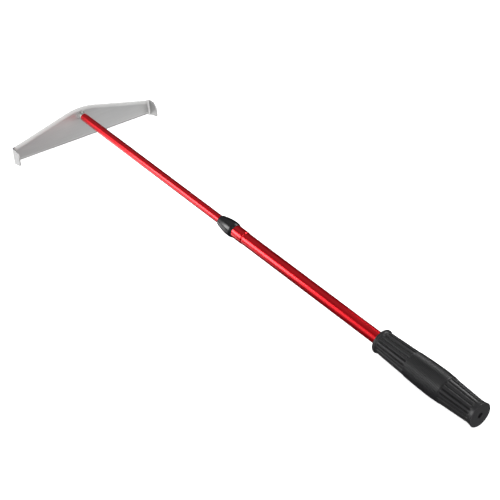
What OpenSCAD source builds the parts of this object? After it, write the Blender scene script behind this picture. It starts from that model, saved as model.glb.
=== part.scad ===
// Telescoping wing-blade hoe.
// +X runs along the handle from the blade to the grip, +Z is up, and the blade's long axis is Y.
// The origin is the centre of the hole in the grip's end face. Millimetres.

/* [Overall] */
// Length from the blade's face to the end of the grip, extended
tool_len = 888; // [860:1:960]
// Distance from the front of the nose ferrule to the end of the grip
nose_to_end = 529; // [515:1:540]

/* [Blade] */
// Width of the blade over its end flanges
blade_w = 270; // [230:5:320]
// Thickness of the sheet
blade_t = 2; // [1.5:0.25:3]
// Lean of the blade from square to the handle, in degrees
blade_lean = 15; // [5:1:25]
// Height of the blade at its ends
end_h = 22.5; // [18:0.5:26]
// Distance from the handle's axis down to the straight edge
edge_drop = 38.5; // [35:0.5:42]
// Slope of the upper edges, in degrees
wing_slope = 13.3; // [11:0.1:15]
// Radius of the rounded peak
peak_r = 123; // [90:1:150]
// Outside radius of the bent corners
bend_r = 6; // [4:0.5:8]
// Depth of the end flanges, measured from the blade's face
flange_d = 18.4; // [14:0.2:24]
// How far the flanges reach below the straight edge
foot_drop = 2; // [0:0.5:3]
// Width of the ground bevels
bevel_w = 4; // [2:0.5:5]
// Thickness left at the ground edges
edge_t = 0.5; // [0.3:0.1:1]

/* [Tubes] */
// Diameter of the inner tube
inner_d = 13; // [12.5:0.1:13.4]
// Diameter of the outer tube
outer_d = 19; // [18.5:0.1:19.4]
// Diameter of the outer tube's belled mouth
mouth_d = 20.2; // [20:0.1:20.8]
// Wall of the inner tube
inner_wall = 1; // [0.8:0.1:1.2]
// Wall of the outer tube
outer_wall = 0.8; // [0.7:0.1:1]
// Length of the belled mouth
mouth_len = 21; // [18:1:24]

/* [Nose ferrule] */
// Largest diameter of the nose
nose_d = 23.9; // [23:0.1:26]
// Length of the nose outside the tube
nose_len = 35.5; // [34:0.5:40]
// Length of the stem inside the tube
stem_len = 44; // [38:1:50]

/* [Grip] */
// Length of the grip
grip_len = 184.5; // [180:0.5:195]
// Largest diameter of the belly
belly_d = 42.5; // [38:0.5:46]
// Number of flutes around the grip
flutes = 18; // [12:1:20]
// Diameter of the hole in the grip's end
end_hole_d = 8; // [6:0.5:9]
// Thickness of the grip's end wall
end_wall = 7; // [5:0.5:8]

/* [Lock] */
// Diameter of the lock screw
screw_d = 6; // [5:0.5:6]
// Length of the expander
expander_len = 26; // [24:1:30]
// Taper of the cone, in degrees to its axis
cone_taper = 10; // [8:1:11]

/* [Hidden] */
$fn = 96;

// Clearances: a running fit, a press fit that stays clear, and open space between moving parts
run_gap = 0.05;
seat_gap = 0.03;
free_gap = 0.35;
// Overshoot of a cutting shape past the face that it cuts
over = 1;

// Stations along the handle, as x
blade_x = -tool_len;
nose_x = -nose_to_end;
mouth_x = nose_x + nose_len;
step_x = mouth_x + mouth_len;
step_len = 2.5;
stem_end_x = mouth_x + stem_len;
grip_x = -grip_len;

// Radii of the tubes
inner_r = inner_d / 2;
inner_bore_r = inner_r - inner_wall;
outer_r = outer_d / 2;
outer_bore_r = outer_r - outer_wall;
mouth_r = mouth_d / 2;
mouth_bore_r = mouth_r - outer_wall;
outer_end_x = -end_wall - 3;

// Blade outline, in the blade's own plane
flat_half = blade_w / 2 - bend_r;
edge_z = -edge_drop;
end_top_z = edge_z + end_h;
wing_end_z = end_top_z + bend_r * tan(wing_slope);
sharp_peak_z = end_top_z + blade_w / 2 * tan(wing_slope);
peak_centre_z = sharp_peak_z - peak_r / cos(wing_slope);
peak_half = peak_r * sin(wing_slope);
flange_top_r = 8;
flange_foot_r = 3;

// Stud between the blade and the inner tube
neck_r = 5.2;
tenon_r = 4;
neck_len = 8;
spigot_len = 26;
tube_front_x = blade_x + neck_len;
rivet_r = 1.6;
rivet_x = tube_front_x + 9;
weld_r = 6.9;
weld_h = 1.6;

// Lock, from the blade end to the grip end
plug_len = 22;
plug_flange_t = 2;
pin_r = 1.25;
washer_t = 1;
lock_gap = 0.5;
expander_x = stem_end_x + lock_gap;
expander_r = outer_bore_r - run_gap;
washer_x = expander_x - lock_gap - washer_t;
plug_end_x = washer_x - 0.2;
inner_end_x = plug_end_x - plug_flange_t;
pin_x = inner_end_x - plug_len + 4;
front_wall = 6;
slot_w = 1.6;
slots = 4;
socket_len = 14;
cone_gap = 0.1;
socket_mouth_r = 6.7;
cone_x = expander_x + expander_len - socket_len + 1;
cone_end_x = expander_x + expander_len + 0.6;
head_len = 6;
screw_r = screw_d / 2;
screw_x = inner_end_x - 14;
nut_x = cone_end_x + head_len + 3;
nut_t = 5;
nut_across = 10;
screw_end_x = nut_x + nut_t + 1;
ring_r = 1.2;
ring_x = expander_x + 3.5;

// Grip stations and radii, from its front end
front_lip_len = 3;
front_neck_x = grip_x + 5.5;
front_flute_x = grip_x + 7;
belly_from = grip_x + 60.5;
belly_top_x = -75;
belly_to = -58.5;
rear_flute_x = -7;
flare_len = 10;
front_lip_r = belly_d / 2 * 0.86;
neck_front_r = belly_d / 2 * 0.795;
belly_front_r = belly_d / 2 * 0.93;
belly_rear_r = belly_d / 2 * 0.96;
neck_rear_r = belly_d / 2 * 0.82;
rear_lip_r = belly_d / 2 * 0.885;
lip_round = 1.2;
belly_step = 0.5;
ring_pitch = 2;
ring_depth = 0.35;
flute_r = 1.7;
flute_depth = 1.3;

// A solid of revolution about X, from points given as [radius, x]
module turned(points) {
    rotate([0, 90, 0]) rotate_extrude() polygon(points);
}

// A plain rod or tube along X
module rod(x0, x1, r) {
    translate([x0, 0, 0]) rotate([0, 90, 0]) cylinder(h = x1 - x0, r = r);
}

module pipe(x0, x1, r_out, r_in) {
    difference() {
        rod(x0, x1, r_out);
        rod(x0 - over, x1 + over, r_in);
    }
}

// Places children in the blade's frame: x' is its normal on the grip side, z' is up in its plane
module on_blade() {
    translate([blade_x, 0, 0]) rotate([0, -blade_lean, 0]) children();
}

// Everything on the far side of the blade's mid plane
module behind_blade(depth) {
    on_blade() translate([-60 - depth, -60, -60]) cube([60, 120, 120]);
}

// ---- Blade ----

// Section of the bent strip: x' is depth and y' runs along the blade
module strip_section() {
    translate([-blade_t, -flat_half]) square([blade_t, 2 * flat_half]);
    for (side = [0, 1]) mirror([0, side]) {
        translate([bend_r - blade_t, flat_half]) intersection() {
            difference() {
                circle(r = bend_r);
                circle(r = bend_r - blade_t);
            }
            translate([-bend_r, 0]) square(bend_r);
        }
        translate([bend_r - blade_t - 0.01, blade_w / 2 - blade_t])
            square([flange_d - bend_r + blade_t + 0.01, blade_t]);
    }
}

// Front outline of the flat: y' along, z' up
module wing_outline() {
    difference() {
        polygon([
            [-blade_w / 2, edge_z], [blade_w / 2, edge_z], [blade_w / 2, end_top_z],
            [0, sharp_peak_z], [-blade_w / 2, end_top_z]
        ]);
        difference() {
            translate([-peak_half, peak_centre_z]) square([2 * peak_half, 2 * peak_r]);
            translate([0, peak_centre_z]) circle(r = peak_r, $fn = 360);
        }
    }
}

// Side outline of an end flange: x' is depth, z' up. Its top carries on down the wing's slope
module flange_outline() {
    foot_z = edge_z - foot_drop;
    fall = tan(wing_slope);
    arc_x = flange_d - flange_top_r;
    arc_z = wing_end_z - arc_x * fall - flange_top_r / cos(wing_slope);
    reach = 2 * flange_top_r;
    difference() {
        polygon([
            [-blade_t, foot_z], [flange_d, foot_z], [flange_d, wing_end_z - flange_d * fall],
            [0, wing_end_z], [-blade_t, wing_end_z]
        ]);
        translate([arc_x, arc_z]) difference() {
            polygon([
                [0, 0], [reach * sin(wing_slope), reach * cos(wing_slope)], [reach, reach], [reach, 0]
            ]);
            circle(r = flange_top_r);
        }
        translate([flange_d - flange_foot_r, foot_z + flange_foot_r]) difference() {
            translate([0, -flange_foot_r - over]) square(flange_foot_r + over);
            circle(r = flange_foot_r);
        }
    }
}

// Section of the wedge that grinding removes from an edge at z' = 0, with the metal above it
module grind_section() {
    cut = blade_t - edge_t;
    polygon([
        [0, bevel_w], [over, bevel_w], [over, -over],
        [-cut * (bevel_w + over) / bevel_w, -over]
    ]);
}

// The wedge, run along y' by the length given
module grind(len) {
    translate([0, len / 2, 0]) rotate([90, 0, 0]) linear_extrude(len) grind_section();
}

// The same wedge swept around the rounded peak
module peak_grind() {
    translate([0, 0, peak_centre_z]) rotate([0, 90, 0]) rotate(180 - wing_slope)
        rotate_extrude(angle = 2 * wing_slope, $fn = 360) translate([peak_r, 0])
            mirror([1, 0]) mirror([1, -1]) grind_section();
}

module blade() {
    slope_len = (flat_half - peak_half) / cos(wing_slope);
    color("silver") difference() {
        on_blade() difference() {
            intersection() {
                translate([0, 0, edge_z - foot_drop]) linear_extrude(2 * edge_drop) strip_section();
                union() {
                    rotate([90, 0, 90]) translate([0, 0, -blade_t - over])
                        linear_extrude(blade_t + 2 * over) intersection() {
                            wing_outline();
                            translate([-flat_half, edge_z]) square([2 * flat_half, 4 * edge_drop]);
                        }
                    for (side = [0, 1]) mirror([0, side, 0])
                        translate([0, flat_half, 0]) rotate([90, 0, 0]) mirror([0, 0, 1])
                            linear_extrude(bend_r + over) flange_outline();
                }
            }
            translate([0, 0, edge_z]) grind(2 * flat_half);
            for (side = [0, 1]) mirror([0, side, 0])
                translate([0, flat_half, wing_end_z])
                    rotate([-wing_slope, 0, 0]) mirror([0, 0, 1])
                        translate([0, -slope_len / 2, 0]) grind(slope_len);
            peak_grind();
        }
        rod(blade_x - 10, blade_x + 10, tenon_r + seat_gap);
    }
}

// ---- Stud, weld and rivet ----

module blade_stud() {
    color("gainsboro") difference() {
        union() {
            rod(blade_x - 10, blade_x + 10, tenon_r);
            difference() {
                rod(blade_x - 10, tube_front_x, neck_r);
                behind_blade(-seat_gap);
            }
            rod(tube_front_x - 1, tube_front_x + spigot_len, inner_bore_r - seat_gap);
        }
        behind_blade(blade_t);
        translate([rivet_x, 0, -inner_r - over]) cylinder(h = 8, r = rivet_r + seat_gap);
    }
}

module stud_weld() {
    color("darkgray") difference() {
        on_blade() rotate([0, 90, 0]) rotate_extrude() polygon(concat(
            [[neck_r - 2, seat_gap], [weld_r, seat_gap]],
            [for (a = [0 : 10 : 90])
                [weld_r - (weld_r - neck_r) * sin(a), seat_gap + weld_h * (1 - cos(a)) + 0.4]],
            [[neck_r - 2, seat_gap + weld_h + 0.4]]
        ));
        rod(blade_x - 10, tube_front_x + over, neck_r + seat_gap);
    }
}

module stud_rivet() {
    color("silver") translate([rivet_x, 0, -inner_r]) {
        translate([0, 0, -0.5]) cylinder(h = 6, r = rivet_r);
        intersection() {
            translate([0, 0, 2.6]) sphere(r = 4);
            translate([0, 0, -2]) cylinder(h = 2 - seat_gap, r = 3);
        }
    }
}

// ---- Inner tube and what is fixed in its end ----

module inner_tube() {
    color("crimson") difference() {
        pipe(tube_front_x, inner_end_x, inner_r, inner_bore_r);
        translate([rivet_x, 0, -inner_r - over]) cylinder(h = 4, r = rivet_r + seat_gap);
        pin_hole();
    }
}

module lock_plug() {
    color("ivory") difference() {
        union() {
            rod(inner_end_x - plug_len, inner_end_x, inner_bore_r - seat_gap);
            rod(inner_end_x, plug_end_x, inner_r - 0.1);
        }
        rod(screw_x - 0.2, plug_end_x + over, screw_r + seat_gap);
        pin_hole();
    }
}

// Cross hole through the inner tube and the plug, for the pin
module pin_hole() {
    translate([pin_x, 0, -inner_r - over]) cylinder(h = inner_d + 2 * over, r = pin_r + run_gap);
}

module plug_pin() {
    color("dimgray") translate([pin_x, 0, 0.2 - inner_r]) cylinder(h = inner_d - 0.4, r = pin_r);
}

module lock_screw() {
    color("lightgray") rod(screw_x, screw_end_x, screw_r);
}

module thrust_washer() {
    color("lightgray") pipe(washer_x, washer_x + washer_t, inner_r - 0.2, screw_r + 0.15);
}

module stop_nut() {
    color("lightgray") difference() {
        translate([nut_x, 0, 0]) rotate([0, 90, 0])
            cylinder(h = nut_t, r = nut_across / 2 / cos(30), $fn = 6);
        rod(nut_x - over, nut_x + nut_t + over, screw_r + seat_gap);
    }
}

// ---- Expander and cone ----

module lock_expander() {
    x0 = expander_x;
    x1 = expander_x + expander_len;
    slip_r = screw_r + free_gap;
    throat_r = socket_mouth_r - socket_len * tan(cone_taper);
    color("ivory") difference() {
        turned([
            [0, x0], [expander_r - 0.8, x0], [expander_r, x0 + 1], [expander_r, ring_x - ring_r],
            [expander_r - 2 * ring_r, ring_x - ring_r], [expander_r - 2 * ring_r, ring_x + ring_r],
            [expander_r, ring_x + ring_r], [expander_r, x1 - 1], [expander_r - 0.8, x1], [0, x1]
        ]);
        rod(x0 - over, x1 + over, slip_r);
        turned([
            [0, x1 - socket_len], [throat_r, x1 - socket_len],
            [socket_mouth_r + over * tan(cone_taper), x1 + over], [0, x1 + over]
        ]);
        for (i = [0 : slots / 2 - 1]) rotate([i * 180 / (slots / 2), 0, 0])
            translate([x0 + front_wall + 2, -outer_d, -slot_w / 2])
                cube([expander_len, 2 * outer_d, slot_w]);
    }
}

module drag_ring() {
    color("black") turned([
        for (a = [0 : 15 : 345])
            [expander_r - ring_r + (ring_r - seat_gap) * cos(a), ring_x + (ring_r - seat_gap) * sin(a)]
    ]);
}

module cone_nut() {
    big_r = socket_mouth_r - cone_gap;
    small_r = big_r - (expander_x + expander_len - cone_x) * tan(cone_taper);
    fin_t = slot_w - 0.4;
    fin_r = expander_r - 0.6;
    color("goldenrod") difference() {
        union() {
            turned([
                [0, cone_x], [small_r, cone_x], [big_r, expander_x + expander_len],
                [big_r, cone_end_x], [fin_r, cone_end_x], [fin_r, cone_end_x + head_len],
                [0, cone_end_x + head_len]
            ]);
            intersection() {
                translate([cone_x + 3, -fin_r, -fin_t / 2])
                    cube([cone_end_x - cone_x - 2, 2 * fin_r, fin_t]);
                rod(cone_x, cone_end_x + 1, fin_r);
            }
        }
        rod(cone_x - over, cone_end_x + head_len + over, screw_r + run_gap);
    }
}

// ---- Outer tube and its ends ----

// Radius of the nose at the fraction t of its taper: between a cone and an ogive
function nose_r(t, small, large) = small + (large - small) * (0.35 * t + 0.65 * sin(90 * t));

module nose_ferrule() {
    lip_r = inner_r + 1.5;
    taper_len = nose_len * 0.66;
    top_r = nose_d / 2;
    color([0.08, 0.08, 0.09]) difference() {
        turned(concat(
            [[0, nose_x], [lip_r - 0.7, nose_x], [lip_r - 0.2, nose_x + 0.3]],
            [for (i = [0 : 16])
                [nose_r(i / 16, lip_r, top_r), nose_x + 0.8 + (taper_len - 0.8) * i / 16]],
            [
                [top_r, mouth_x - 5.5], [top_r - 0.35, mouth_x - 3.5],
                [mouth_r + 0.4, mouth_x - 0.2],
                [mouth_bore_r - seat_gap, mouth_x - 0.2], [mouth_bore_r - seat_gap, step_x - 0.5],
                [outer_bore_r - seat_gap, step_x + step_len - 0.8],
                [outer_bore_r - seat_gap, stem_end_x], [0, stem_end_x]
            ]
        ));
        rod(nose_x - over, nose_x + 30, inner_r + run_gap);
        rod(nose_x + 29, stem_end_x + over, inner_r + free_gap);
    }
}

module outer_tube() {
    groove = 0.15;
    color("crimson") turned([
        [mouth_bore_r, mouth_x], [mouth_r, mouth_x], [mouth_r, step_x],
        [outer_r - groove, step_x + 1], [outer_r - groove, step_x + step_len - 0.5],
        [outer_r, step_x + step_len], [outer_r, outer_end_x], [outer_bore_r, outer_end_x],
        [outer_bore_r, step_x + step_len], [mouth_bore_r, step_x]
    ]);
}

module tube_plug() {
    color("dimgray") turned([
        [0, outer_end_x - 12], [outer_bore_r - 1.2, outer_end_x - 12],
        [outer_bore_r - seat_gap, outer_end_x - 10.5], [outer_bore_r - seat_gap, outer_end_x],
        [outer_r - 0.2, outer_end_x], [outer_r - 0.2, outer_end_x + 2.5], [0, outer_end_x + 2.5]
    ]);
}

// Radius of the belly at x: a quarter sine rise to its largest radius, then a straight fall
function belly_r(x) = x < belly_top_x
    ? belly_front_r
        + (belly_d / 2 - belly_front_r) * sin(90 * (x - belly_from) / (belly_top_x - belly_from))
    : belly_d / 2 - (belly_d / 2 - belly_rear_r) * (x - belly_top_x) / (belly_to - belly_top_x);

module grip() {
    rings = floor((belly_to - belly_from) / ring_pitch) - 1;
    lip_x = grip_x + front_lip_len;
    color([0.16, 0.16, 0.17]) difference() {
        turned(concat(
            [[0, grip_x]],
            [for (a = [0 : 15 : 90])
                [front_lip_r - lip_round * (1 - sin(a)), grip_x + lip_round * (1 - cos(a))]],
            [[front_lip_r, lip_x]],
            [for (a = [15 : 15 : 90])
                [front_lip_r - (front_lip_r - neck_front_r) * sin(a),
                    lip_x + (front_neck_x - lip_x) * (1 - cos(a))]],
            [[belly_front_r - belly_step, belly_from], [belly_front_r, belly_from + belly_step]],
            [for (i = [1 : rings], part = [0, 1])
                let (x = belly_from + (i + 0.5 * part) * ring_pitch)
                [belly_r(x) - part * ring_depth, x]],
            [[belly_rear_r, belly_to - belly_step], [belly_rear_r - belly_step, belly_to]],
            [for (t = [0 : 0.125 : 1])
                [neck_rear_r + (rear_lip_r - neck_rear_r) * t * t, (t - 1) * flare_len - lip_round]],
            [for (a = [15 : 15 : 90])
                [rear_lip_r - lip_round * (1 - cos(a)), -lip_round * (1 - sin(a))]],
            [[0, 0]]
        ));
        rod(grip_x - over, -end_wall, outer_r + seat_gap);
        rod(-end_wall - over, over, end_hole_d / 2);
        for (i = [0 : flutes - 1]) rotate([i * 360 / flutes, 0, 0]) {
            flute(front_flute_x, neck_front_r, belly_from - 0.5, belly_front_r - belly_step);
            flute(belly_to + 0.5, belly_rear_r - belly_step, rear_flute_x, neck_rear_r);
        }
    }
}

// One flute along the grip, between two stations given as x and surface radius
module flute(x0, r0, x1, r1) {
    slope = atan((r1 - r0) / (x1 - x0));
    translate([x0, 0, r0 + flute_r - flute_depth]) rotate([0, 90 - slope, 0])
        cylinder(h = (x1 - x0) / cos(slope), r = flute_r, $fn = 32);
}

blade();
blade_stud();
stud_weld();
stud_rivet();
inner_tube();
lock_plug();
plug_pin();
lock_screw();
thrust_washer();
lock_expander();
drag_ring();
cone_nut();
stop_nut();
nose_ferrule();
outer_tube();
tube_plug();
grip();
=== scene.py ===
"""The looks of a telescoping wing-blade hoe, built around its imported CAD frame.

The frame's +X runs along the handle from the blade to the grip, +Y runs along the blade and +Z is up.
Pieces are drawn in millimetres and stored in metres.
"""
import math

import bmesh
import bpy
from mathutils import Matrix, Vector


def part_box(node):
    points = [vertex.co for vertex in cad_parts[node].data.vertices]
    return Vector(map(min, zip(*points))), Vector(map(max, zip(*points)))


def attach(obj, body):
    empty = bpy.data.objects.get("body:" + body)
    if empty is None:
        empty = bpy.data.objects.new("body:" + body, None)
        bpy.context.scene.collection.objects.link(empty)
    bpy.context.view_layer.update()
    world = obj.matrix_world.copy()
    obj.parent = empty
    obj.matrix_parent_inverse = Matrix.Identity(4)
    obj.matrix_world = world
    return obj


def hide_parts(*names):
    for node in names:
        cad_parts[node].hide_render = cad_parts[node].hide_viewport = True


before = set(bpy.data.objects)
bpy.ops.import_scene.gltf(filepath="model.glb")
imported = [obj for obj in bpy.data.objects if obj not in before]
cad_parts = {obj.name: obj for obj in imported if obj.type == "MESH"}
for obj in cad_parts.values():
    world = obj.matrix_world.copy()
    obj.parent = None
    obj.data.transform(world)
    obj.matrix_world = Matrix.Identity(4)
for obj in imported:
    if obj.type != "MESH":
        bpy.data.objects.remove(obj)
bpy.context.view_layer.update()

MM = 0.001


def span(node):
    """The CAD node's lowest and highest corners, in millimetres."""
    low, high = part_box(node)
    return Vector(low) / MM, Vector(high) / MM


# ---- Stations along the handle, from the frame ----

BLADE_LOW, BLADE_HIGH = span("blade")
TUBE_LOW, TUBE_HIGH = span("inner_tube")
NOSE_LOW, NOSE_HIGH = span("nose_ferrule")
OUTER_LOW, OUTER_HIGH = span("outer_tube")
GRIP_LOW, GRIP_HIGH = span("grip")

INNER_R = TUBE_HIGH.z
INNER_WALL = 1.0
MOUTH_R = OUTER_HIGH.z
MOUTH_LENGTH = 21.0
OUTER_R = 9.5
OUTER_WALL = 0.8
NOSE_R = NOSE_HIGH.z
NOSE_X = NOSE_LOW.x
MOUTH_X = OUTER_LOW.x
STEP_X = MOUTH_X + MOUTH_LENGTH
GRIP_X = GRIP_LOW.x
BELLY_R = GRIP_HIGH.z

NECK_R = 5.2
NECK_LENGTH = 8.0
WELD_R = 6.9

# The blade leans back from square to the handle, about the point where the handle's axis meets it
LEAN = math.radians(15.0)
BLADE_X = TUBE_LOW.x - NECK_LENGTH
BLADE_HALF = BLADE_HIGH.y
BLADE_T = 2.0
EDGE_Z = -38.5
END_TOP_Z = EDGE_Z + 22.5
WING_SLOPE = math.radians(13.3)
PEAK_R = 123.0

# Lengths along the blade's strip are developed ones, along its mid line and out from its middle
BEND_R = 6.0
BEND_MID_R = BEND_R - BLADE_T / 2
BEND_LENGTH = BEND_MID_R * math.pi / 2
FLAT_HALF = BLADE_HALF - BEND_R
BEND_END = FLAT_HALF + BEND_LENGTH
FLANGE_DEPTH = 18.4
STRIP_HALF = BEND_END + FLANGE_DEPTH - (BEND_R - BLADE_T)
FLANGE_TOP_ROUND = 8.0
FLANGE_FOOT_ROUND = 3.0
FOOT_DROP = 1.9


# ---- Mesh helpers ----

def finish_mesh(name, bm, sharp_angle=40.0):
    """Turns a bmesh in millimetres into a smooth-shaded object in metres.

    An edge stays sharp where its faces meet at more than sharp_angle degrees.
    """
    bmesh.ops.recalc_face_normals(bm, faces=bm.faces)
    bm.normal_update()
    for face in bm.faces:
        face.smooth = True
    for edge in bm.edges:
        if len(edge.link_faces) == 2 and edge.calc_face_angle() > math.radians(sharp_angle):
            edge.smooth = False
    bmesh.ops.scale(bm, vec=(MM, MM, MM), verts=bm.verts)
    mesh = bpy.data.meshes.new(name)
    bm.to_mesh(mesh)
    bm.free()
    piece = bpy.data.objects.new(name, mesh)
    bpy.context.scene.collection.objects.link(piece)
    return piece


def rounded(corners, steps=5):
    """A polyline with its corners filleted. Each corner is (x, r, fillet radius)."""
    points = []
    for i, (x, r, fillet) in enumerate(corners):
        here = Vector((x, r))
        before = Vector(corners[i - 1][:2]) if i else None
        after = Vector(corners[i + 1][:2]) if i + 1 < len(corners) else None
        if not fillet or before is None or after is None:
            points.append(here)
            continue
        into, out = here - before, after - here
        reach = min(fillet, into.length * 0.49, out.length * 0.49)
        start, end = here - into.normalized() * reach, here + out.normalized() * reach
        for k in range(steps + 1):
            t = k / steps
            points.append(start.lerp(here, t).lerp(here.lerp(end, t), t))
    return points


def ring_grid(bm, rings, closed):
    """Joins rings of vertices into a skin. Closed also joins the last ring to the first."""
    count = len(rings[0])
    pairs = list(zip(rings, rings[1:])) + ([(rings[-1], rings[0])] if closed else [])
    for a, b in pairs:
        for j in range(count):
            k = (j + 1) % count
            bm.faces.new((a[j], a[k], b[k], b[j]))


def turned(name, profile, segments, radius_at=None):
    """A piece turned about the handle's axis from a closed outline of (x, r) points.

    radius_at(x, r, angle) may carve its surface.
    """
    bm = bmesh.new()
    rings = []
    for x, r in profile:
        ring = []
        for j in range(segments):
            angle = 2 * math.pi * j / segments
            radius = radius_at(x, r, angle) if radius_at else r
            ring.append(bm.verts.new((x, radius * math.cos(angle), radius * math.sin(angle))))
        rings.append(ring)
    ring_grid(bm, rings, closed=True)
    return finish_mesh(name, bm)


def smoothstep(t):
    """A soft step from 0 at t = 0 to 1 at t = 1, level outside."""
    t = min(max(t, 0.0), 1.0)
    return t * t * (3 - 2 * t)


def arc(count):
    """Angles from 0 to a quarter turn."""
    return [math.pi / 2 * k / count for k in range(count + 1)]


# ---- Materials ----

class Shader:
    """A small builder for one Principled material, laid out in object coordinates."""

    def __init__(self, name, **constants):
        self.material = bpy.data.materials.new(name)
        self.material.use_nodes = True
        self.tree = self.material.node_tree
        self.bsdf = self.tree.nodes["Principled BSDF"]
        for socket, value in constants.items():
            self.bsdf.inputs[socket.replace("_", " ")].default_value = value
        self.where = self.node("ShaderNodeTexCoord").outputs["Object"]

    def node(self, kind, **settings):
        made = self.tree.nodes.new(kind)
        for key, value in settings.items():
            setattr(made, key, value)
        return made

    def link(self, source, target):
        self.tree.links.new(source, target)

    def noise(self, scale, detail=3.0):
        """Noise from 0 to 1. The scale is in features per metre along each axis."""
        mapping = self.node("ShaderNodeMapping", vector_type="POINT")
        mapping.inputs["Scale"].default_value = scale
        self.link(self.where, mapping.inputs["Vector"])
        made = self.node("ShaderNodeTexNoise")
        made.inputs["Scale"].default_value = 1.0
        made.inputs["Detail"].default_value = detail
        made.inputs["Roughness"].default_value = 0.55
        self.link(mapping.outputs["Vector"], made.inputs["Vector"])
        return made.outputs["Fac"]

    def ramp(self, source, low, high, to_low=0.0, to_high=1.0):
        """A value mapped from low..high to to_low..to_high, and held outside."""
        made = self.node("ShaderNodeMapRange")
        limits = {"From Min": low, "From Max": high, "To Min": to_low, "To Max": to_high}
        for socket, value in limits.items():
            made.inputs[socket].default_value = value
        self.link(source, made.inputs["Value"])
        return made.outputs["Result"]

    def maths(self, operation, a, b):
        """A sum, difference or product of a and b, which are numbers or sockets."""
        made = self.node("ShaderNodeMath", operation=operation)
        for socket, value in zip(made.inputs, (a, b)):
            if isinstance(value, (int, float)):
                socket.default_value = value
            else:
                self.link(value, socket)
        return made.outputs["Value"]

    def mix(self, factor, a, b):
        """A colour between a and b, which are colours or sockets."""
        made = self.node("ShaderNodeMix", data_type="RGBA")
        self.link(factor, made.inputs["Factor"])
        for socket, value in ((made.inputs[6], a), (made.inputs[7], b)):
            if isinstance(value, tuple):
                socket.default_value = (*value, 1.0)
            else:
                self.link(value, socket)
        return made.outputs[2]

    def attribute(self, name):
        """A value from 0 to 1 that the mesh stores at its vertices."""
        return self.node("ShaderNodeAttribute", attribute_name=name).outputs["Fac"]

    def bump(self, height, distance, strength=1.0, under=None):
        """Relief from a height of 0 to 1, over a distance in metres and on top of the normal under it."""
        made = self.node("ShaderNodeBump")
        made.inputs["Strength"].default_value = strength
        made.inputs["Distance"].default_value = distance
        self.link(height, made.inputs["Height"])
        if under:
            self.link(under, made.inputs["Normal"])
        return made.outputs["Normal"]

    def done(self, colour, roughness, normal=None):
        """Links what was built to the shader, and gives the material."""
        for socket, source in (("Base Color", colour), ("Roughness", roughness), ("Normal", normal)):
            if source:
                self.link(source, self.bsdf.inputs[socket])
        return self.material


def blade_steel():
    """Rolled sheet with a faint lengthwise grain, ground bright on its edges and tinted by the weld."""
    s = Shader("blade_steel", Metallic=1.0, Anisotropic=0.35)
    grain = s.noise((900.0, 14.0, 900.0), detail=4.0)
    blotch = s.noise((22.0, 9.0, 22.0), detail=4.0)
    ground = s.attribute("ground")
    heat = s.attribute("heat")
    rolled = s.mix(s.ramp(blotch, 0.3, 0.72), (0.37, 0.37, 0.372), (0.46, 0.46, 0.455))
    streaked = s.mix(s.ramp(grain, 0.35, 0.7, 0.0, 0.3), rolled, (0.52, 0.52, 0.515))
    bright = s.mix(s.ramp(grain, 0.3, 0.7), (0.50, 0.50, 0.495), (0.60, 0.60, 0.595))
    edged = s.mix(ground, streaked, bright)
    colour = s.mix(heat, edged, (0.23, 0.19, 0.15))
    patchy = s.ramp(blotch, 0.3, 0.7, -0.03, 0.06)
    rolled_rough = s.maths("ADD", s.ramp(grain, 0.3, 0.75, 0.44, 0.52), patchy)
    rough = s.maths("ADD", rolled_rough, s.maths("MULTIPLY", ground, 0.08))
    marks = s.noise((60.0, 1400.0, 60.0), detail=2.0)
    relief = s.bump(s.maths("MULTIPLY", marks, ground), 0.00003)
    return s.done(colour, rough, s.bump(grain, 0.000012, 0.6, relief))


def bright_metal(name, low, high, rough_low, rough_high):
    """Plated or turned metal, with fine rings around the handle's axis."""
    s = Shader(name, Metallic=1.0)
    lines = s.noise((1600.0, 90.0, 90.0), detail=3.0)
    cloud = s.noise((70.0, 70.0, 70.0), detail=3.0)
    colour = s.mix(s.ramp(cloud, 0.3, 0.7), low, high)
    rough = s.ramp(lines, 0.3, 0.7, rough_low, rough_high)
    return s.done(colour, rough, s.bump(lines, 0.000015, 0.7))


def weld_metal():
    """Dull grey weld, mottled and a little scaly."""
    s = Shader("weld_metal", Metallic=1.0)
    cloud = s.noise((380.0, 380.0, 380.0), detail=4.0)
    tint = s.noise((120.0, 120.0, 120.0), detail=2.0)
    base = s.mix(s.ramp(tint, 0.35, 0.65), (0.20, 0.19, 0.18), (0.36, 0.35, 0.34))
    colour = s.mix(s.ramp(cloud, 0.5, 0.75, 0.0, 0.6), base, (0.2, 0.19, 0.2))
    return s.done(colour, s.ramp(cloud, 0.3, 0.7, 0.3, 0.55), s.bump(cloud, 0.00012, 0.8))


def red_paint(name, slide_wear):
    """Baked gloss paint: a trace of orange peel, and fine lengthwise rubs where tubes slide."""
    s = Shader(name, Metallic=0.8, Coat_Weight=0.45, Coat_Roughness=0.15, Specular_IOR_Level=0.2)
    cloud = s.noise((16.0, 60.0, 60.0), detail=3.0)
    colour = s.mix(s.ramp(cloud, 0.3, 0.7), (0.53, 0.0, 0.006), (0.62, 0.0, 0.007))
    rubs = s.ramp(s.noise((9.0, 1500.0, 1500.0), detail=3.0), 0.66, 0.8)
    dulled = s.maths("MULTIPLY", rubs, slide_wear)
    rough = s.maths("ADD", s.ramp(cloud, 0.3, 0.7, 0.25, 0.33), dulled)
    peel = s.noise((420.0, 420.0, 420.0), detail=2.0)
    return s.done(s.mix(dulled, colour, (0.60, 0.05, 0.06)), rough, s.bump(peel, 0.000012, 0.5))


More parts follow.
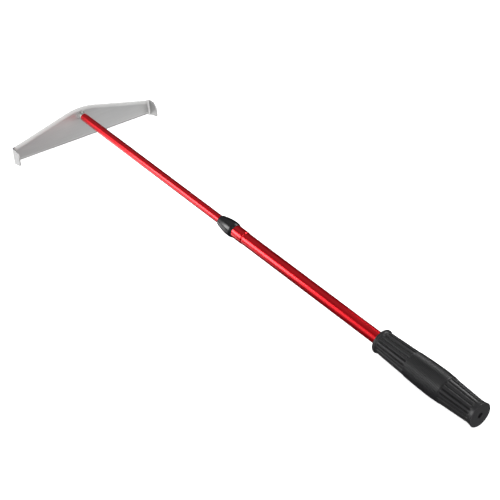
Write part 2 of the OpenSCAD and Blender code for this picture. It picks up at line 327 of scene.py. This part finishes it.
def black_gloss():
    """Moulded gloss plastic, with faint flow marks and a few hairline scratches."""
    s = Shader("black_gloss_plastic")
    cloud = s.noise((60.0, 140.0, 140.0), detail=3.0)
    scratch = s.ramp(s.noise((40.0, 1800.0, 1800.0), detail=2.0), 0.68, 0.8)
    base = s.mix(s.ramp(cloud, 0.3, 0.7), (0.003, 0.003, 0.004), (0.006, 0.006, 0.007))
    colour = s.mix(s.maths("MULTIPLY", scratch, 0.3), base, (0.06, 0.06, 0.065))
    rough = s.maths("ADD", s.ramp(cloud, 0.3, 0.7, 0.27, 0.35), s.maths("MULTIPLY", scratch, 0.12))
    return s.done(colour, rough, s.bump(cloud, 0.00002, 0.5))


def grip_rubber():
    """Dark rubber with a fine moulded grain and ridges polished less rough by hands, with painted shade:
    its flutes and ring grooves are painted several times darker than its ridges.
    """
    s = Shader("grip_rubber", Specular_IOR_Level=0.27)
    grain = s.noise((1500.0, 1500.0, 1500.0), detail=2.0)
    cloud = s.noise((45.0, 45.0, 45.0), detail=4.0)
    ridge_polish_and_groove_shade = s.attribute("ridge_polish_and_groove_shade")
    base = s.mix(s.ramp(cloud, 0.3, 0.7), (0.0015, 0.0015, 0.002), (0.004, 0.004, 0.0045))
    # Painted shade: the flutes and ring grooves get the near-black base colour, and the ridges a lighter
    # grey.
    colour = s.mix(s.maths("MULTIPLY", ridge_polish_and_groove_shade, 0.8), base, (0.021, 0.021, 0.022))
    rough = s.maths("SUBTRACT", s.ramp(cloud, 0.3, 0.7, 0.40, 0.48), s.maths("MULTIPLY", ridge_polish_and_groove_shade, 0.06))
    return s.done(colour, rough, s.bump(grain, 0.00004, 0.5))


def plain_plastic(name, low, high, rough_low=0.4, rough_high=0.55):
    """Moulded plastic or rubber for the pieces inside the handle."""
    s = Shader(name)
    cloud = s.noise((130.0, 130.0, 130.0), detail=4.0)
    grain = s.noise((1100.0, 1100.0, 1100.0), detail=2.0)
    colour = s.mix(s.ramp(cloud, 0.3, 0.7), low, high)
    return s.done(colour, s.ramp(cloud, 0.3, 0.7, rough_low, rough_high), s.bump(grain, 0.00003, 0.4))


def studio_paper(name, glow):
    """Pale paper, lit a little from within so that it stays white behind the tool."""
    s = Shader(name, Specular_IOR_Level=0.1, Emission_Strength=glow)
    s.bsdf.inputs["Emission Color"].default_value = (1.0, 1.0, 1.0, 1.0)
    cloud = s.noise((3.0, 3.0, 3.0), detail=2.0)
    colour = s.mix(s.ramp(cloud, 0.3, 0.7), (0.86, 0.86, 0.86), (0.88, 0.88, 0.88))
    return s.done(colour, s.ramp(cloud, 0.3, 0.7, 0.7, 0.8))


def wear(piece, material):
    """Gives a piece its one material."""
    piece.data.materials.clear()
    piece.data.materials.append(material)


# ---- Camera, light and floor ----

def add_camera():
    """A long lens that looks down along the handle, from behind the grip and on the -Y side."""
    azimuth, elevation, roll = math.radians(47.6), math.radians(35.87), math.radians(4.46)
    distance, aim = 2.3147, Vector((-0.4511, -0.0085, -0.0044))
    turn = (
        Matrix.Rotation(azimuth, 4, "Z")
        @ Matrix.Rotation(math.pi / 2 - elevation, 4, "X")
        @ Matrix.Rotation(roll, 4, "Z")
    )
    data = bpy.data.cameras.new("camera")
    data.sensor_width = 36.0
    data.lens = 115.2
    camera = bpy.data.objects.new("camera", data)
    camera.matrix_world = Matrix.Translation(aim + turn @ Vector((0, 0, distance))) @ turn
    bpy.context.scene.collection.objects.link(camera)
    bpy.context.scene.camera = camera


def add_softbox(name, target, direction, distance, width, height, power):
    """An area light aimed at the target from the direction given."""
    data = bpy.data.lights.new(name, "AREA")
    data.shape = "RECTANGLE"
    data.size, data.size_y = width, height
    data.energy = power
    light = bpy.data.objects.new(name, data)
    away = Vector(direction).normalized()
    light.location = target + away * distance
    light.rotation_euler = away.to_track_quat("Z", "Y").to_euler()
    light.visible_camera = False
    bpy.context.scene.collection.objects.link(light)


def add_world():
    """A dim studio with soft bright panels. Each is (direction, half angle in degrees, brightness)."""
    ambient = 0.04
    panels = [
        ((-0.66, -0.73, 0.16), 33.0, 1.2),
        ((-0.60, 0.05, 0.80), 38.0, 0.36),
        ((0.78, -0.55, -0.30), 36.0, 2.6),
        ((0.90, 0.20, 0.05), 85.0, 0.57),
        ((0.84, -0.10, 0.54), 34.0, 0.6),
    ]
    world = bpy.data.worlds.new("studio")
    world.use_nodes = True
    tree = world.node_tree
    towards = tree.nodes.new("ShaderNodeTexCoord").outputs["Generated"]
    total = None
    for direction, half_angle, brightness in panels:
        aim = tree.nodes.new("ShaderNodeVectorMath")
        aim.operation = "DOT_PRODUCT"
        aim.inputs[1].default_value = Vector(direction).normalized()
        tree.links.new(towards, aim.inputs[0])
        fade = tree.nodes.new("ShaderNodeMapRange")
        fade.interpolation_type = "SMOOTHSTEP"
        fade.inputs["From Min"].default_value = math.cos(math.radians(half_angle))
        fade.inputs["To Max"].default_value = brightness
        tree.links.new(aim.outputs["Value"], fade.inputs["Value"])
        add = tree.nodes.new("ShaderNodeMath")
        add.inputs[1].default_value = ambient
        if total:
            tree.links.new(total, add.inputs[1])
        tree.links.new(fade.outputs["Result"], add.inputs[0])
        total = add.outputs["Value"]
    tree.links.new(total, tree.nodes["Background"].inputs["Strength"])
    tree.nodes["Background"].inputs["Color"].default_value = (1.0, 1.0, 1.0, 1.0)
    bpy.context.scene.world = world


def add_lights():
    """A large softbox above, one beside, and four small ones that each light one stretch's gloss.

    After its name, target and direction, each has its distance, width and height in metres, and watts.
    """
    middle, collar, belly = Vector((-0.45, 0, 0)), Vector((-0.58, 0, 0)), Vector((-0.09, 0, 0))
    blade, wing = Vector((-0.88, 0, -0.02)), Vector((-0.88, 0.10, -0.02))
    add_softbox("top_softbox", middle, (0.55, -0.45, 0.95), 2.4, 1.6, 1.6, 19.0)
    add_softbox("side_softbox", middle, (0.35, -0.88, 0.32), 2.2, 1.2, 1.2, 14.0)
    add_softbox("tube_softbox", collar, (-0.60, -0.765, 0.234), 1.2, 0.5, 0.65, 9.0)
    add_softbox("flange_softbox", blade, (-0.598, -0.546, -0.586), 0.8, 0.7, 0.5, 2.4)
    add_softbox("belly_softbox", belly, (-0.22, 0.66, 0.71), 1.2, 0.6, 0.4, 9.5)
    add_softbox("wing_softbox", wing, (0.80, 0.53, -0.30), 0.5, 0.3, 0.3, 0.28)
    bpy.context.scene.view_settings.view_transform = "Standard"


def add_floor():
    """A pale sheet just under the blade's feet and the grip's belly, inside a pale sphere."""
    feet_x, feet_z = BLADE_X + 25.0, BLADE_LOW.z
    belly_x, belly_z = -76.0, -BELLY_R
    pitch = math.atan2(belly_z - feet_z, belly_x - feet_x)
    gap, floor_half, sphere_r = 0.3, 6000.0, 9000.0
    bm = bmesh.new()
    bmesh.ops.create_grid(bm, x_segments=8, y_segments=8, size=floor_half)
    middle = Vector((feet_x, 0, feet_z - gap))
    bm.transform(Matrix.Translation(middle) @ Matrix.Rotation(-pitch, 4, "Y"))
    floor = finish_mesh("floor", bm)
    wear(floor, studio_paper("floor_paper", 0.75))
    bm = bmesh.new()
    bmesh.ops.create_uvsphere(bm, u_segments=64, v_segments=32, radius=sphere_r)
    backdrop = finish_mesh("backdrop", bm)
    wear(backdrop, studio_paper("backdrop_paper", 1.0))
    for sheet in (floor, backdrop):
        sheet.visible_diffuse = sheet.visible_glossy = sheet.visible_shadow = False


# ---- The blade ----

def blade_station(u):
    """The strip's mid line at the developed length u from its middle: depth, place along Y and turn.

    u runs past the bends into the end flanges. The turn is the angle of the strip, 0 on the flat
    and a right angle on a flange.
    """
    side, reach = math.copysign(1, u), abs(u)
    if reach <= FLAT_HALF:
        return -BLADE_T / 2, u, 0.0
    if reach <= BEND_END:
        turn = (reach - FLAT_HALF) / BEND_MID_R
        depth = BEND_R - BLADE_T - BEND_MID_R * math.cos(turn)
        return depth, side * (FLAT_HALF + BEND_MID_R * math.sin(turn)), side * turn
    depth = BEND_R - BLADE_T + reach - BEND_END
    return depth, side * (FLAT_HALF + BEND_MID_R), side * math.pi / 2


def corner_cut(reach, radius):
    """How much of the strip's width a flange's round corner takes away, at reach from the middle."""
    into_corner = max(reach - (STRIP_HALF - radius), 0)
    return radius - math.sqrt(max(radius ** 2 - into_corner ** 2, 0))


def blade_edges(u):
    """The heights of the lower and upper edges, and how far the strip is ground there, at u."""
    reach = abs(u)
    sharp_peak = END_TOP_Z + BLADE_HALF * math.tan(WING_SLOPE)
    if reach < PEAK_R * math.sin(WING_SLOPE):
        centre = sharp_peak - PEAK_R / math.cos(WING_SLOPE)
        top = centre + math.sqrt(PEAK_R ** 2 - reach ** 2)
    else:
        depth = max(blade_station(u)[0] - BLADE_T / 2, 0.0)
        top = sharp_peak - (min(reach, FLAT_HALF) + depth) * math.tan(WING_SLOPE)
    drop_from, drop_length = FLAT_HALF - 1.5, 3.0
    low = EDGE_Z - FOOT_DROP * smoothstep((reach - drop_from) / drop_length)
    fade_from, fade_length = FLAT_HALF - 3.0, BEND_LENGTH * 0.8
    ground = 1 - smoothstep((reach - fade_from) / fade_length)
    return low + corner_cut(reach, FLANGE_FOOT_ROUND), top - corner_cut(reach, FLANGE_TOP_ROUND), ground


def blade_section(low, top, ground):
    """The strip's outline across its width: (offset towards the grip, height, ground share)."""
    low_bevel, top_bevel, bevel_cut, shoulder = 4.0, 6.5, 1.5, 0.35
    soft = 0.18
    half, cut = BLADE_T / 2, bevel_cut * ground
    land = half - cut

    def edge(z, sign, bevel):
        """From the far face round the edge at height z to the near face, up a hollow-ground bevel."""
        corner = [
            (-half, z + sign * soft, 0.0),
            (-half + soft * 0.3, z + sign * soft * 0.3, 0.5),
            (-half + soft, z, 1.0),
            (land - soft, z, 1.0),
            (land - soft * 0.25, z + sign * soft * 0.35, 1.0),
            (land + soft * 0.2, z + sign * soft, max(ground, 0.4)),
        ]
        hollow = [
            (land + cut * (1 - (1 - up) ** 1.5), z + sign * bevel * up, ground)
            for up in (0.2, 0.4, 0.6, 0.8)
        ]
        return corner + hollow + [(half, z + sign * (bevel + shoulder), 0.0)]

    steps = 8
    face_low, face_top = low + low_bevel + shoulder, top - top_bevel - shoulder
    face = [(half, face_low + (face_top - face_low) * k / steps, 0.0) for k in range(1, steps)]
    back = [(-half, top - soft + (low - top + 2 * soft) * k / steps, 0.0) for k in range(1, steps)]
    return edge(low, 1, low_bevel) + face + edge(top, -1, top_bevel)[::-1] + back


def on_blade(depth, y, z):
    """A point of the blade's own frame, in the handle's frame."""
    return Vector((
        BLADE_X + depth * math.cos(LEAN) - z * math.sin(LEAN),
        y,
        depth * math.sin(LEAN) + z * math.cos(LEAN),
    ))


def strip_run():
    """The developed lengths of the strip's sections, from one flange's tip to the other's."""
    flat_steps, bend_steps, straight_steps, round_steps = 60, 16, 5, 14
    tip_gap = 0.02
    straight = STRIP_HALF - FLANGE_TOP_ROUND - BEND_END
    half_run = [FLAT_HALF * k / flat_steps for k in range(flat_steps + 1)]
    half_run += [FLAT_HALF + BEND_LENGTH * k / bend_steps for k in range(1, bend_steps + 1)]
    half_run += [BEND_END + straight * k / straight_steps for k in range(1, straight_steps + 1)]
    half_run += [STRIP_HALF - FLANGE_TOP_ROUND * (1 - math.sin(a)) for a in arc(round_steps)[1:]]
    half_run[-1] -= tip_gap
    return [-u for u in half_run[:0:-1]] + half_run


def make_blade(material):
    """The bent strip, with its ground edges and the weld's heat stored at its vertices."""
    heat, heat_from, heat_fade = 0.75, 8.0, 7.0
    bm = bmesh.new()
    ground_layer = bm.verts.layers.float.new("ground")
    heat_layer = bm.verts.layers.float.new("heat")
    rings = []
    for u in strip_run():
        depth, y, turn = blade_station(u)
        ring = []
        for offset, z, ground in blade_section(*blade_edges(u)):
            place = on_blade(depth + offset * math.cos(turn), y - offset * math.sin(turn), z)
            vert = bm.verts.new(place)
            vert[ground_layer] = ground
            vert[heat_layer] = heat * (1 - smoothstep((math.hypot(y, z) - heat_from) / heat_fade))
            ring.append(vert)
        rings.append(ring)
    ring_grid(bm, rings, closed=False)
    bm.faces.new(rings[0])
    bm.faces.new(reversed(rings[-1]))
    bmesh.ops.triangulate(bm, faces=[f for f in bm.faces if len(f.verts) > 4])
    blade = finish_mesh("blade_sheet", bm, sharp_angle=50.0)
    wear(blade, material)
    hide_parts("blade")
    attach(blade, "shaft")


# ---- Neck, weld and rivet ----

def make_neck(material):
    """The stud: its front end follows the blade's lean, and its rear end sits inside the thin tube."""
    mouth, end = TUBE_LOW.x, TUBE_LOW.x + 26.0
    bore, groove, chamfer = 3.2, 0.3, 1.6
    profile = rounded([
        (BLADE_X + 0.4, bore, 0), (BLADE_X - 1.2, NECK_R, 0), (mouth - 1.6, NECK_R, 0.3),
        (mouth - 1.2, NECK_R - groove, 0.2), (mouth - 0.7, NECK_R, 0.2), (end - 2.0, NECK_R, 0.4),
        (end, NECK_R - chamfer, 0.5), (end, bore, 0),
    ])
    neck = turned("neck", profile, segments=96)
    front_end = (BLADE_X + 1.0) * MM
    for vert in neck.data.vertices:
        if vert.co.x < front_end:
            vert.co.x -= vert.co.z * math.tan(LEAN)
    wear(neck, material)
    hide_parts("blade_stud")
    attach(neck, "shaft")


def make_weld(material):
    """A ring of weld beads in the corner between the neck and the leaning blade."""
    steps, beads = 204, 15
    foot, height, inner_height, sunk = 0.1, 1.7, 1.6, 0.5
    bm = bmesh.new()
    rings = []
    for i in range(steps):
        angle = 2 * math.pi * i / steps
        ripple = 0.88 + 0.12 * math.cos(beads * angle) + 0.04 * math.sin(3 * angle + 0.7)
        section = []
        for turn in arc(9):
            bow = ripple * (1.0 + 0.25 * math.sin(2 * turn))
            out = NECK_R + (WELD_R - NECK_R) * (1 - math.sin(turn)) * bow
            section.append((out, foot + height * (1 - math.cos(turn)) * bow))
        section += [(NECK_R - sunk, inner_height * ripple), (NECK_R - sunk, foot)]
        rings.append([
            bm.verts.new(on_blade(up, out * math.cos(angle), out * math.sin(angle)))
            for out, up in section
        ])
    ring_grid(bm, rings, closed=True)
    weld = finish_mesh("weld", bm, sharp_angle=70.0)
    wear(weld, material)
    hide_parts("stud_weld")
    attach(weld, "shaft")


def make_rivet(material):
    """A blind rivet under the thin tube: a domed head with the broken stem in its middle.

    Its outline is in (radius, height below the tube) points.
    """
    low, high = span("stud_rivet")
    middle_x, face_z = (low.x + high.x) / 2, -INNER_R - 0.02
    segments = 48
    stem = [(0.75, 0.55), (0.85, 0.62)]
    rim = [(0.9, 0.95), (1.05, 1.18), (1.5, 1.16)]
    dome = [(2.1, 0.98), (2.6, 0.68), (2.9, 0.3), (3.0, 0.05)]
    seat = [(2.9, -0.35), (1.6, -0.4)]
    bm = bmesh.new()
    rings = [
        [
            bm.verts.new((middle_x + r * math.cos(a), r * math.sin(a), face_z - height))
            for a in (2 * math.pi * j / segments for j in range(segments))
        ]
        for r, height in stem + rim + dome + seat
    ]
    ring_grid(bm, rings, closed=False)
    bm.faces.new(rings[0])
    bm.faces.new(reversed(rings[-1]))
    rivet = finish_mesh("rivet", bm, sharp_angle=50.0)
    wear(rivet, material)
    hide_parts("stud_rivet")
    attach(rivet, "shaft")


# ---- Tubes ----

def make_inner_tube(material):
    """The outline starts and ends within the front edge, so that both corners there are filleted."""
    bore = INNER_R - INNER_WALL
    profile = rounded([
        (TUBE_LOW.x, bore + 0.4, 0), (TUBE_LOW.x, INNER_R, 0.45), (TUBE_HIGH.x, INNER_R, 0.3),
        (TUBE_HIGH.x, bore, 0.2), (TUBE_LOW.x, bore, 0.3), (TUBE_LOW.x, bore + 0.4, 0),
    ])
    tube = turned("thin_tube", profile[:-1], segments=128)
    wear(tube, material)
    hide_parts("inner_tube")
    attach(tube, "shaft")


def make_outer_tube(material):
    """The belled mouth ends in a pressed groove, where the tube drops to its main size."""
    bore, mouth_bore = OUTER_R - OUTER_WALL, MOUTH_R - OUTER_WALL
    groove_r = OUTER_R - 0.15
    end = OUTER_HIGH.x
    profile = rounded([
        (MOUTH_X, mouth_bore + 0.3, 0), (MOUTH_X, MOUTH_R, 0.35), (STEP_X - 0.4, MOUTH_R, 0.8),
        (STEP_X + 0.8, groove_r, 0.6), (STEP_X + 1.8, groove_r, 0.5), (STEP_X + 2.5, OUTER_R, 0.7),
        (end, OUTER_R, 0.3), (end, bore, 0.2), (STEP_X + 2.6, bore, 0.6),
        (STEP_X, mouth_bore, 0.6), (MOUTH_X, mouth_bore, 0.2), (MOUTH_X, mouth_bore + 0.3, 0),
    ])
    tube = turned("thick_tube", profile[:-1], segments=160)
    wear(tube, material)
    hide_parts("outer_tube")
    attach(tube, "handle")


def make_nose(material):
    """The black nose: a rounded lip, a long ogive, a full belt and a short rear taper."""
    gap = 0.05
    bore, rear_bore, bore_length = INNER_R + gap, INNER_R + 0.35, 29.0
    lip_x, lip_r = NOSE_X + 0.9, INNER_R + 1.7
    belt_x, ogive_steps = NOSE_X + 23.4, 32
    stem_r, rear_stem_r = MOUTH_R - OUTER_WALL - gap, OUTER_R - OUTER_WALL - gap
    rear_x, rear_r = MOUTH_X - 0.25, MOUTH_R + 0.42
    stem_end = NOSE_HIGH.x
    points = rounded([
        (NOSE_X + 1.2, bore, 0), (NOSE_X, bore + 0.3, 0.3), (NOSE_X, lip_r - 0.65, 0.5),
        (lip_x, lip_r, 0),
    ])
    for k in range(1, ogive_steps + 1):
        t = k / ogive_steps
        swell = 0.35 * t + 0.65 * math.sin(math.pi / 2 * t)
        points.append(Vector((lip_x + (belt_x - lip_x) * t, lip_r + (NOSE_R - lip_r) * swell)))
    points += rounded([
        (belt_x + 0.3, NOSE_R, 0), (MOUTH_X - 5.2, NOSE_R, 1.2), (MOUTH_X - 3.2, NOSE_R - 0.45, 1.2),
        (rear_x, rear_r, 0.3), (rear_x, stem_r, 0.1), (STEP_X - 1.0, stem_r, 0.5),
        (STEP_X + 2.2, rear_stem_r, 0.5), (stem_end, rear_stem_r, 0.4), (stem_end, rear_bore, 0.2),
        (NOSE_X + bore_length + 1.0, rear_bore, 0), (NOSE_X + bore_length, bore, 0),
    ])
    nose = turned("nose", points, segments=160)
    wear(nose, material)
    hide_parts("nose_ferrule")
    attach(nose, "handle")


# ---- The grip: stations are places along X, and its rear end is at 0 ----

FLUTES = 18
FLUTE_DEPTH = 1.3
FLUTE_HALF = 1.95
FRONT_LIP_X = GRIP_X + 3.0
FRONT_NECK_X = GRIP_X + 5.5
FRONT_FLUTE_X = GRIP_X + 7.0
BELLY_FROM = GRIP_X + 60.5
BELLY_TOP_X = -75.0
BELLY_TO = -58.5
REAR_FLUTE_X = -7.0
FLARE_LEN = 10.0
FRONT_LIP_R = BELLY_R * 0.86
FRONT_NECK_R = BELLY_R * 0.795
BELLY_FRONT_R = BELLY_R * 0.93
BELLY_REAR_R = BELLY_R * 0.96
REAR_NECK_R = BELLY_R * 0.82
REAR_LIP_R = BELLY_R * 0.885
LIP_ROUND = 1.2
BELLY_STEP = 0.5
RING_PITCH = 2.0
RING_DEPTH = 0.35


def belly_radius(x):
    """The belly's radius over its rings: a soft rise to its top, then a straight fall."""
    if x < BELLY_TOP_X:
        rise = math.sin(math.pi / 2 * (x - BELLY_FROM) / (BELLY_TOP_X - BELLY_FROM))
        return BELLY_FRONT_R + (BELLY_R - BELLY_FRONT_R) * rise
    return BELLY_R - (BELLY_R - BELLY_REAR_R) * (x - BELLY_TOP_X) / (BELLY_TO - BELLY_TOP_X)


def flute_share(x):
    """How much of a flute's depth there is at x: full along both fluted stretches, soft at their ends."""
    front_fade, belly_fade, rear_fade = 2.0, 0.9, 3.0
    belly_gap = 0.2
    front = smoothstep((x - FRONT_FLUTE_X + 0.8) / front_fade)
    front *= smoothstep((BELLY_FROM - belly_gap - x) / belly_fade)
    rear = smoothstep((x - BELLY_TO - belly_gap) / belly_fade)
    rear *= smoothstep((REAR_FLUTE_X + 1.0 - x) / rear_fade)
    return max(front, rear)


def groove_at(x, angle, r):
    """The share of a flute's full depth at a point of the grip's surface."""
    pitch = 2 * math.pi / FLUTES
    off = abs((angle + pitch / 2) % pitch - pitch / 2) * r
    return flute_share(x) * (1 - smoothstep(off / FLUTE_HALF))


def grip_radius(x, r, angle):
    """The surface radius with the flutes carved in, leaving the bore and the end face alone."""
    if r < FRONT_NECK_R * 0.96:
        return r
    return r - FLUTE_DEPTH * groove_at(x, angle, r)


def grip_profile():
    """(x, r) points from the front bore's mouth over the outside to the end hole."""
    bore, hole_r, hole_end, dish = OUTER_R + 0.03, 4.0, -7.0, 0.5
    points = [(GRIP_X + 1.0, bore), (GRIP_X + 0.3, bore + 0.2), (GRIP_X, bore + 0.8)]
    points += [
        (GRIP_X + LIP_ROUND * (1 - math.cos(a)), FRONT_LIP_R - LIP_ROUND * (1 - math.sin(a)))
        for a in arc(8)
    ]
    points.append((FRONT_LIP_X - 0.5, FRONT_LIP_R))
    points += [
        (FRONT_LIP_X + (FRONT_NECK_X - FRONT_LIP_X) * (1 - math.cos(a)),
         FRONT_LIP_R - (FRONT_LIP_R - FRONT_NECK_R) * math.sin(a))
        for a in arc(10)
    ]
    rows, flare_rows = 44, 12
    belly_edge = BELLY_FRONT_R - BELLY_STEP
    points += [
        (FRONT_NECK_X + (BELLY_FROM - FRONT_NECK_X) * k / rows,
         FRONT_NECK_R + (belly_edge - FRONT_NECK_R) * k / rows)
        for k in range(1, rows + 1)
    ]
    points += [(BELLY_FROM + 0.25, belly_edge - 0.15), (BELLY_FROM + 0.5, BELLY_FRONT_R - 0.1)]
    rings = int((BELLY_TO - BELLY_FROM) / RING_PITCH) - 1
    samples = 5
    for k in range(samples // 2, (rings + 1) * samples):
        x = BELLY_FROM + k * RING_PITCH / samples
        wave = 0.5 - 0.5 * math.cos(2 * math.pi * k / samples)
        points.append((x, belly_radius(x) - RING_DEPTH * (1 - wave ** 0.7)))
    neck_from = BELLY_REAR_R - BELLY_STEP
    points += [(BELLY_TO - 0.5, BELLY_REAR_R - 0.05), (BELLY_TO - 0.2, neck_from - 0.15)]
    flare_x = -FLARE_LEN - LIP_ROUND
    points += [
        (BELLY_TO + (flare_x - BELLY_TO) * k / rows, neck_from + (REAR_NECK_R - neck_from) * k / rows)
        for k in range(rows + 1)
    ]
    points += [
        (flare_x + FLARE_LEN * t, REAR_NECK_R + (REAR_LIP_R - REAR_NECK_R) * t ** 2)
        for t in (k / flare_rows for k in range(1, flare_rows + 1))
    ]
    points += [
        (-LIP_ROUND * (1 - math.sin(a)), REAR_LIP_R - LIP_ROUND * (1 - math.cos(a)))
        for a in arc(8)[1:]
    ]
    points += [tuple(point) for point in rounded([
        (0.0, REAR_LIP_R - 1.6, 0), (-dish, REAR_LIP_R - 3.0, 0.6), (-dish, hole_r + 1.6, 0.6),
        (-0.05, hole_r + 0.9, 0.4), (-0.05, hole_r + 0.3, 0.2), (-0.6, hole_r, 0.2),
        (hole_end, hole_r, 0), (hole_end, bore, 0),
    ])]
    return points


def make_grip(material):
    """The grip, with a value at its vertices for the ridges' polish and the painted shade in the grooves:
    1 on the ridges and 0 in the flutes and grooves.
    """
    grip = turned("grip_rubber", grip_profile(), FLUTES * 16, grip_radius)
    # The rubber's colour uses this value to paint shade into the flutes and ring grooves.
    ridge_polish_and_groove_shade = grip.data.attributes.new("ridge_polish_and_groove_shade", "FLOAT", "POINT")
    for i, vert in enumerate(grip.data.vertices):
        x, r = vert.co.x / MM, math.hypot(vert.co.y, vert.co.z) / MM
        if BELLY_FROM < x < BELLY_TO:
            ridge_polish_and_groove_shade.data[i].value = smoothstep(1 - (belly_radius(x) - r) / RING_DEPTH)
        else:
            ridge_polish_and_groove_shade.data[i].value = 1 - groove_at(x, math.atan2(vert.co.z, vert.co.y), FRONT_NECK_R)
    wear(grip, material)
    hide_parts("grip")
    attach(grip, "handle")


# ---- Everything ----

def dress_hidden_nodes():
    """The pieces inside the handle keep their CAD meshes and get worked materials."""
    steel = bright_metal("machined_steel", (0.50, 0.50, 0.50), (0.62, 0.62, 0.61), 0.2, 0.38)
    nylon = plain_plastic("natural_nylon", (0.62, 0.60, 0.53), (0.72, 0.70, 0.63))
    plastic = plain_plastic("black_plastic", (0.018, 0.018, 0.019), (0.034, 0.034, 0.035))
    seal = plain_plastic("seal_rubber", (0.012, 0.012, 0.012), (0.022, 0.022, 0.022), 0.5, 0.65)
    brass = bright_metal("turned_brass", (0.60, 0.42, 0.15), (0.72, 0.53, 0.22), 0.2, 0.36)
    dress = {
        "lock_screw": steel, "plug_pin": steel, "thrust_washer": steel, "stop_nut": steel,
        "lock_expander": nylon, "lock_plug": plastic, "tube_plug": plastic, "drag_ring": seal,
        "cone_nut": brass,
    }
    for node, material in dress.items():
        wear(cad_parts[node], material)


add_camera()
add_world()
add_lights()
add_floor()
zinc = bright_metal("bright_zinc", (0.62, 0.62, 0.60), (0.76, 0.76, 0.74), 0.16, 0.32)
make_blade(blade_steel())
make_neck(zinc)
make_weld(weld_metal())
make_rivet(zinc)
make_inner_tube(red_paint("sliding_red_paint", 0.10))
make_nose(black_gloss())
make_outer_tube(red_paint("red_paint", 0.03))
make_grip(grip_rubber())
dress_hidden_nodes()
